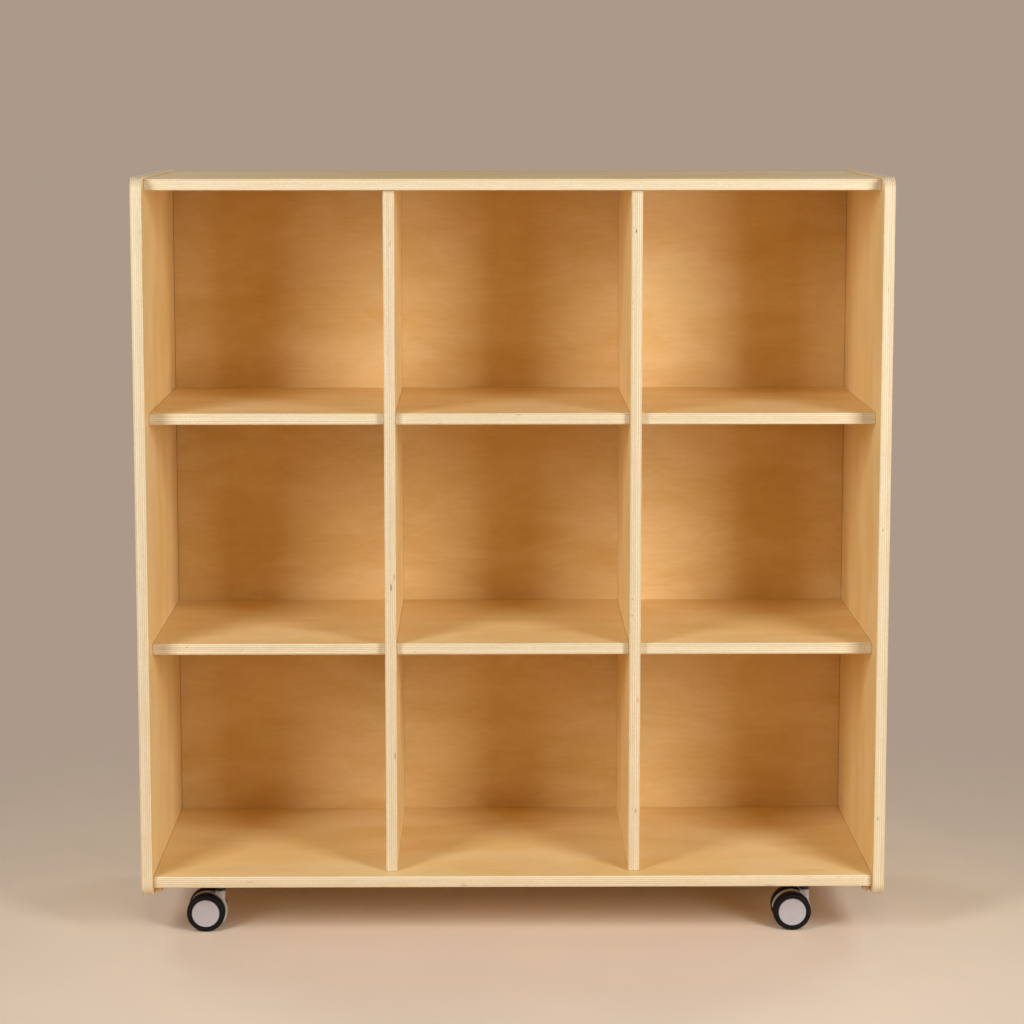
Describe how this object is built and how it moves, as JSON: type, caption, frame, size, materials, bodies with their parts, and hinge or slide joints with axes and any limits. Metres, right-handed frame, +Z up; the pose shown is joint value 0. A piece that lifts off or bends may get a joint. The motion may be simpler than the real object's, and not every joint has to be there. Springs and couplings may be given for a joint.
{
  "type": "cubby shelf",
  "caption": "Open plywood cubby shelf on swivel casters: side panels, dividers and shelves form a grid of open compartments with a closed back.",
  "frame": {"origin": "on the floor, under the middle of the cabinet's outline", "axes": "+Z up, +X to the right seen from the open front, +Y from the open front to the back panel"},
  "size_m": [0.981, 0.38, 1.007],
  "materials": {
    "birch_plywood": "satin lacquer",
    "thin_plywood": "satin lacquer",
    "strip_wood": "bare sanded wood",
    "dowel_beech": "bare turned wood",
    "screw_steel": "zinc plated",
    "black_plate": "semi gloss black",
    "pin_steel": "turned steel",
    "housing_plastic": "fine grained",
    "tyre_rubber": "matte soft rubber",
    "hub_plastic": "moulded",
    "cap_plastic": "fine satin"
  },
  "bodies": {
    "cabinet": {"side_panel_left": "birch_plywood", "side_panel_right": "birch_plywood", "top_panel": "birch_plywood", "bottom_panel": "birch_plywood", "divider_left": "birch_plywood", "divider_right": "birch_plywood", "shelf_upper_left": "birch_plywood", "shelf_upper_middle": "birch_plywood", "shelf_upper_right": "birch_plywood", "shelf_lower_left": "birch_plywood", "shelf_lower_middle": "birch_plywood", "shelf_lower_right": "birch_plywood", "back_panel": "thin_plywood", "underside_strip_left": "strip_wood", "underside_strip_right": "strip_wood", "joint_dowels": "dowel_beech", "back_panel_screws": "screw_steel", "caster_screws": "screw_steel", "strip_screws": "screw_steel", "caster_plate_front_left": "black_plate", "kingpin_front_left": "pin_steel", "caster_plate_front_right": "black_plate", "kingpin_front_right": "pin_steel", "caster_plate_rear_left": "black_plate", "kingpin_rear_left": "pin_steel", "caster_plate_rear_right": "black_plate", "kingpin_rear_right": "pin_steel"},
    "swivel_front_left": {"caster_housing_front_left": "housing_plastic", "axle_front_left": "pin_steel"},
    "wheel_front_left_near": {"tyre_front_left_near": "tyre_rubber", "hub_front_left_near": "hub_plastic", "hub_cap_front_left_near": "cap_plastic"},
    "wheel_front_left_far": {"tyre_front_left_far": "tyre_rubber", "hub_front_left_far": "hub_plastic", "hub_cap_front_left_far": "cap_plastic"},
    "swivel_front_right": {"caster_housing_front_right": "housing_plastic", "axle_front_right": "pin_steel"},
    "wheel_front_right_near": {"tyre_front_right_near": "tyre_rubber", "hub_front_right_near": "hub_plastic", "hub_cap_front_right_near": "cap_plastic"},
    "wheel_front_right_far": {"tyre_front_right_far": "tyre_rubber", "hub_front_right_far": "hub_plastic", "hub_cap_front_right_far": "cap_plastic"},
    "swivel_rear_left": {"caster_housing_rear_left": "housing_plastic", "axle_rear_left": "pin_steel"},
    "wheel_rear_left_near": {"tyre_rear_left_near": "tyre_rubber", "hub_rear_left_near": "hub_plastic", "hub_cap_rear_left_near": "cap_plastic"},
    "wheel_rear_left_far": {"tyre_rear_left_far": "tyre_rubber", "hub_rear_left_far": "hub_plastic", "hub_cap_rear_left_far": "cap_plastic"},
    "swivel_rear_right": {"caster_housing_rear_right": "housing_plastic", "axle_rear_right": "pin_steel"},
    "wheel_rear_right_near": {"tyre_rear_right_near": "tyre_rubber", "hub_rear_right_near": "hub_plastic", "hub_cap_rear_right_near": "cap_plastic"},
    "wheel_rear_right_far": {"tyre_rear_right_far": "tyre_rubber", "hub_rear_right_far": "hub_plastic", "hub_cap_rear_right_far": "cap_plastic"}
  },
  "joints": [
    {"name": "swivel_front_left", "type": "hinge", "parent": "cabinet", "child": "swivel_front_left", "pos_m": [-0.3925, -0.122, 0.071], "axis": [0, 0, 1], "continuous": true},
    {"name": "roll_front_left_near", "type": "hinge", "parent": "swivel_front_left", "child": "wheel_front_left_near", "pos_m": [-0.4105, -0.122, 0.0255], "axis": [0, 1, 0], "continuous": true},
    {"name": "roll_front_left_far", "type": "hinge", "parent": "swivel_front_left", "child": "wheel_front_left_far", "pos_m": [-0.4105, -0.122, 0.0255], "axis": [0, 1, 0], "continuous": true},
    {"name": "swivel_front_right", "type": "hinge", "parent": "cabinet", "child": "swivel_front_right", "pos_m": [0.3925, -0.122, 0.071], "axis": [0, 0, 1], "continuous": true},
    {"name": "roll_front_right_near", "type": "hinge", "parent": "swivel_front_right", "child": "wheel_front_right_near", "pos_m": [0.3745, -0.122, 0.0255], "axis": [0, 1, 0], "continuous": true},
    {"name": "roll_front_right_far", "type": "hinge", "parent": "swivel_front_right", "child": "wheel_front_right_far", "pos_m": [0.3745, -0.122, 0.0255], "axis": [0, 1, 0], "continuous": true},
    {"name": "swivel_rear_left", "type": "hinge", "parent": "cabinet", "child": "swivel_rear_left", "pos_m": [-0.3925, 0.122, 0.071], "axis": [0, 0, 1], "continuous": true},
    {"name": "roll_rear_left_near", "type": "hinge", "parent": "swivel_rear_left", "child": "wheel_rear_left_near", "pos_m": [-0.4105, 0.122, 0.0255], "axis": [0, 1, 0], "continuous": true},
    {"name": "roll_rear_left_far", "type": "hinge", "parent": "swivel_rear_left", "child": "wheel_rear_left_far", "pos_m": [-0.4105, 0.122, 0.0255], "axis": [0, 1, 0], "continuous": true},
    {"name": "swivel_rear_right", "type": "hinge", "parent": "cabinet", "child": "swivel_rear_right", "pos_m": [0.3925, 0.122, 0.071], "axis": [0, 0, 1], "continuous": true},
    {"name": "roll_rear_right_near", "type": "hinge", "parent": "swivel_rear_right", "child": "wheel_rear_right_near", "pos_m": [0.3745, 0.122, 0.0255], "axis": [0, 1, 0], "continuous": true},
    {"name": "roll_rear_right_far", "type": "hinge", "parent": "swivel_rear_right", "child": "wheel_rear_right_far", "pos_m": [0.3745, 0.122, 0.0255], "axis": [0, 1, 0], "continuous": true}
  ]
}
